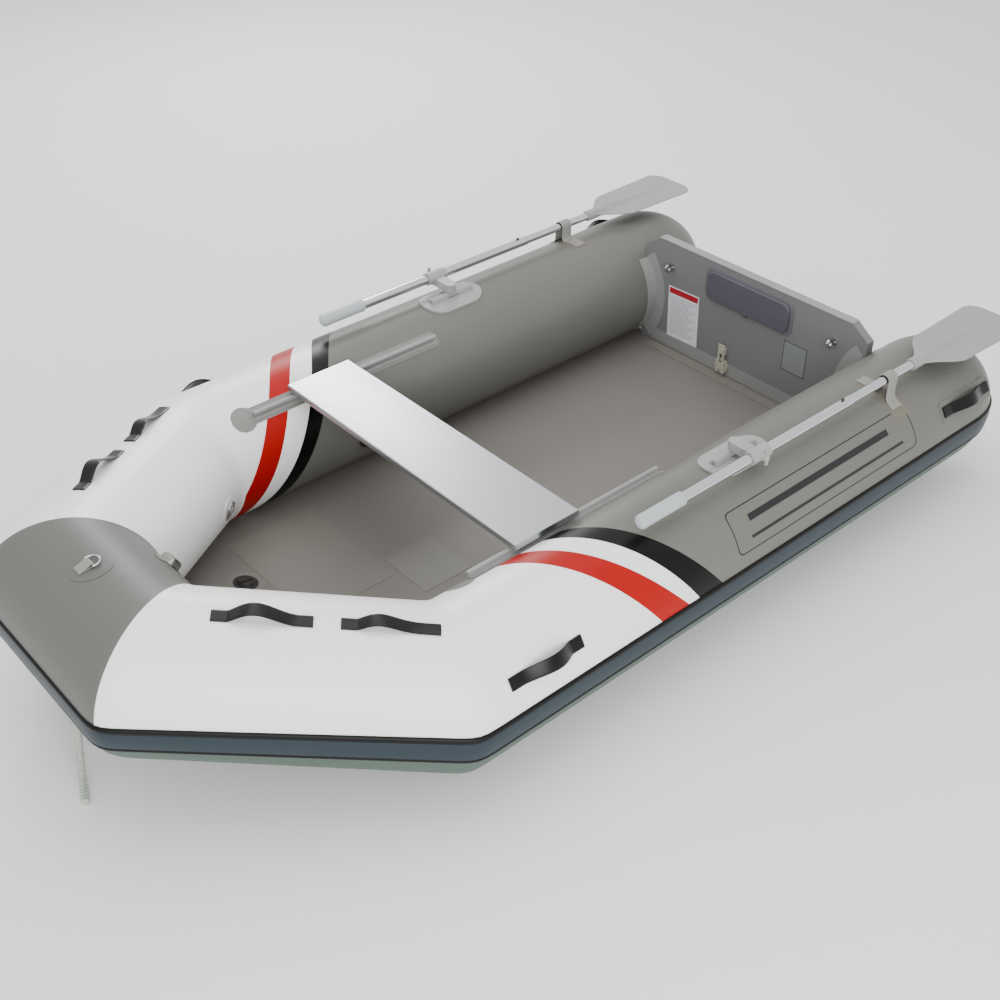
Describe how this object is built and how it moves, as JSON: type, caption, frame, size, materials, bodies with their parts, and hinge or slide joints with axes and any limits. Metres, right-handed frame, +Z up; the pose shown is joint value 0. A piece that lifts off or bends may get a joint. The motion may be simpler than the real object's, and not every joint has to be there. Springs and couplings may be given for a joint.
{
  "type": "inflatable dinghy",
  "caption": "Small inflatable dinghy with an air floor, plank seat, board transom with motor pads, grab handles and oars stowed in pivoting oarlocks",
  "frame": {"origin": "on the ground under the middle of the boat, halfway between stern and bow", "axes": "+X to the bow, +Y to port, +Z up"},
  "size_m": [2.4602, 1.388, 0.4732],
  "materials": {
    "tube_fabric_grey": "satin coated fabric",
    "tube_fabric_white": "satin coated fabric",
    "strake_rubber": "satin",
    "floor_fabric": "matte coated fabric",
    "dark_plastic": "moulded, semi-gloss",
    "transom_paint": "painted plywood",
    "pad_plastic": "matte",
    "stainless": "polished",
    "light_plastic": "moulded, satin",
    "soft_rubber": "matte",
    "label_film": "printed film, left blank",
    "rail_plastic": "satin",
    "patch_fabric": "satin coated fabric",
    "webbing": "woven",
    "aluminium": "anodised, brushed",
    "grip_foam": "matte",
    "rope": "braided"
  },
  "bodies": {
    "hull": {"aft_tube_port": "tube_fabric_grey", "aft_tube_starboard": "tube_fabric_grey", "air_floor": "floor_fabric", "bow_tube_port": "tube_fabric_white", "bow_tube_starboard": "tube_fabric_white", "carrying_handles": "dark_plastic", "chamber_baffles": "tube_fabric_grey", "drain_body": "light_plastic", "drain_guide": "light_plastic", "floor_flange": "transom_paint", "floor_valve_body": "dark_plastic", "handle_patches": "patch_fabric", "inner_webbing_loop": "webbing", "motor_pad_inner": "pad_plastic", "motor_plate_outer": "pad_plastic", "nose_tube": "tube_fabric_grey", "oar_strap_port": "webbing", "oar_strap_starboard": "webbing", "oarlock_base_port": "light_plastic", "oarlock_base_starboard": "light_plastic", "painter_rope": "rope", "ring_patches": "patch_fabric", "ring_tabs": "webbing", "rub_strake": "strake_rubber", "seat_rail_patches": "patch_fabric", "seat_rails": "rail_plastic", "side_flanges": "transom_paint", "side_rings": "stainless", "towing_ring": "stainless", "transom_board": "transom_paint", "transom_eye_bolts": "stainless", "transom_eye_nuts": "stainless", "transom_labels": "label_film", "transom_top_trim": "light_plastic", "tube_valve_body_port": "dark_plastic", "tube_valve_body_starboard": "dark_plastic"},
    "seat": {"seat_plank": "aluminium", "seat_hooks": "aluminium"},
    "oarlock_pivot_port": {"oarlock_swivel_port": "light_plastic"},
    "oar_port": {"oarlock_collar_port": "light_plastic", "oar_grip_port": "grip_foam", "oar_upper_shaft_port": "aluminium", "oar_lower_shaft_port": "aluminium", "oar_blade_port": "light_plastic"},
    "oar_spring_button_port": {"oar_button_port": "dark_plastic"},
    "oarlock_clamp_knob_port": {"oarlock_knob_port": "light_plastic"},
    "tube_valve_plug_port": {"tube_valve_cap_port": "dark_plastic"},
    "oarlock_pivot_starboard": {"oarlock_swivel_starboard": "light_plastic"},
    "oar_starboard": {"oarlock_collar_starboard": "light_plastic", "oar_grip_starboard": "grip_foam", "oar_upper_shaft_starboard": "aluminium", "oar_lower_shaft_starboard": "aluminium", "oar_blade_starboard": "light_plastic"},
    "oar_spring_button_starboard": {"oar_button_starboard": "dark_plastic"},
    "oarlock_clamp_knob_starboard": {"oarlock_knob_starboard": "light_plastic"},
    "tube_valve_plug_starboard": {"tube_valve_cap_starboard": "dark_plastic"},
    "floor_valve_plug": {"floor_valve_cap": "dark_plastic"},
    "drain_shutter": {"drain_latch": "light_plastic"},
    "drain_one_way_flap": {"drain_flap": "soft_rubber"},
    "bow_d_ring": {"bow_ring": "stainless"}
  },
  "joints": [
    {"name": "seat_slide", "type": "slide", "parent": "hull", "child": "seat", "axis": [1, 0, 0], "range_m": [-0.2, 0.1]},
    {"name": "oar_dip_port", "type": "hinge", "parent": "hull", "child": "oarlock_pivot_port", "pos_m": [-0.2631, 0.5069, 0.384], "axis": [1, 0, 0], "range_deg": [-20, 18]},
    {"name": "oar_swing_port", "type": "hinge", "parent": "oarlock_pivot_port", "child": "oar_port", "pos_m": [-0.2631, 0.5069, 0.412], "axis": [0, 0, 1], "range_deg": [-100, 0], "deforming": ["oar_strap_port"]},
    {"name": "oar_button_press_port", "type": "slide", "parent": "oar_port", "child": "oar_spring_button_port", "axis": [0, 0, -1], "range_m": [0, 0.0035], "stiffness_N_per_m": 800},
    {"name": "clamp_knob_turn_port", "type": "hinge", "parent": "oar_port", "child": "oarlock_clamp_knob_port", "pos_m": [-0.2631, 0.5929, 0.412], "axis": [0, 1, 0], "range_deg": [-90, 90]},
    {"name": "tube_valve_turn_port", "type": "hinge", "parent": "hull", "child": "tube_valve_plug_port", "pos_m": [0.1519, 0.34719, 0.17543], "axis": [0, -0.9848, -0.1736], "range_deg": [0, 90]},
    {"name": "oar_dip_starboard", "type": "hinge", "parent": "hull", "child": "oarlock_pivot_starboard", "pos_m": [-0.2631, -0.5069, 0.384], "axis": [1, 0, 0], "range_deg": [-18, 20]},
    {"name": "oar_swing_starboard", "type": "hinge", "parent": "oarlock_pivot_starboard", "child": "oar_starboard", "pos_m": [-0.2631, -0.5069, 0.412], "axis": [0, 0, 1], "range_deg": [0, 100], "deforming": ["oar_strap_starboard"]},
    {"name": "oar_button_press_starboard", "type": "slide", "parent": "oar_starboard", "child": "oar_spring_button_starboard", "axis": [0, 0, -1], "range_m": [0, 0.0035], "stiffness_N_per_m": 800},
    {"name": "clamp_knob_turn_starboard", "type": "hinge", "parent": "oar_starboard", "child": "oarlock_clamp_knob_starboard", "pos_m": [-0.2631, -0.5929, 0.412], "axis": [0, 1, 0], "range_deg": [-90, 90]},
    {"name": "tube_valve_turn_starboard", "type": "hinge", "parent": "hull", "child": "tube_valve_plug_starboard", "pos_m": [0.1519, -0.34719, 0.17543], "axis": [0, 0.9848, -0.1736], "range_deg": [0, 90]},
    {"name": "floor_valve_turn", "type": "hinge", "parent": "hull", "child": "floor_valve_plug", "pos_m": [0.6469, -0.178, 0.06871], "axis": [-0.1895, 0, 0.9819], "range_deg": [0, 90]},
    {"name": "drain_shutter_slide", "type": "slide", "parent": "hull", "child": "drain_shutter", "axis": [0, 0, 1], "range_m": [0, 0.034]},
    {"name": "drain_flap_hinge", "type": "hinge", "parent": "hull", "child": "drain_one_way_flap", "pos_m": [-0.9546, -0.07, 0.1093], "axis": [0, 1, 0], "range_deg": [0, 60]},
    {"name": "bow_ring_flip", "type": "hinge", "parent": "hull", "child": "bow_d_ring", "pos_m": [1.06018, 0, 0.46865], "axis": [0, 1, 0], "range_deg": [0, 150]}
  ]
}
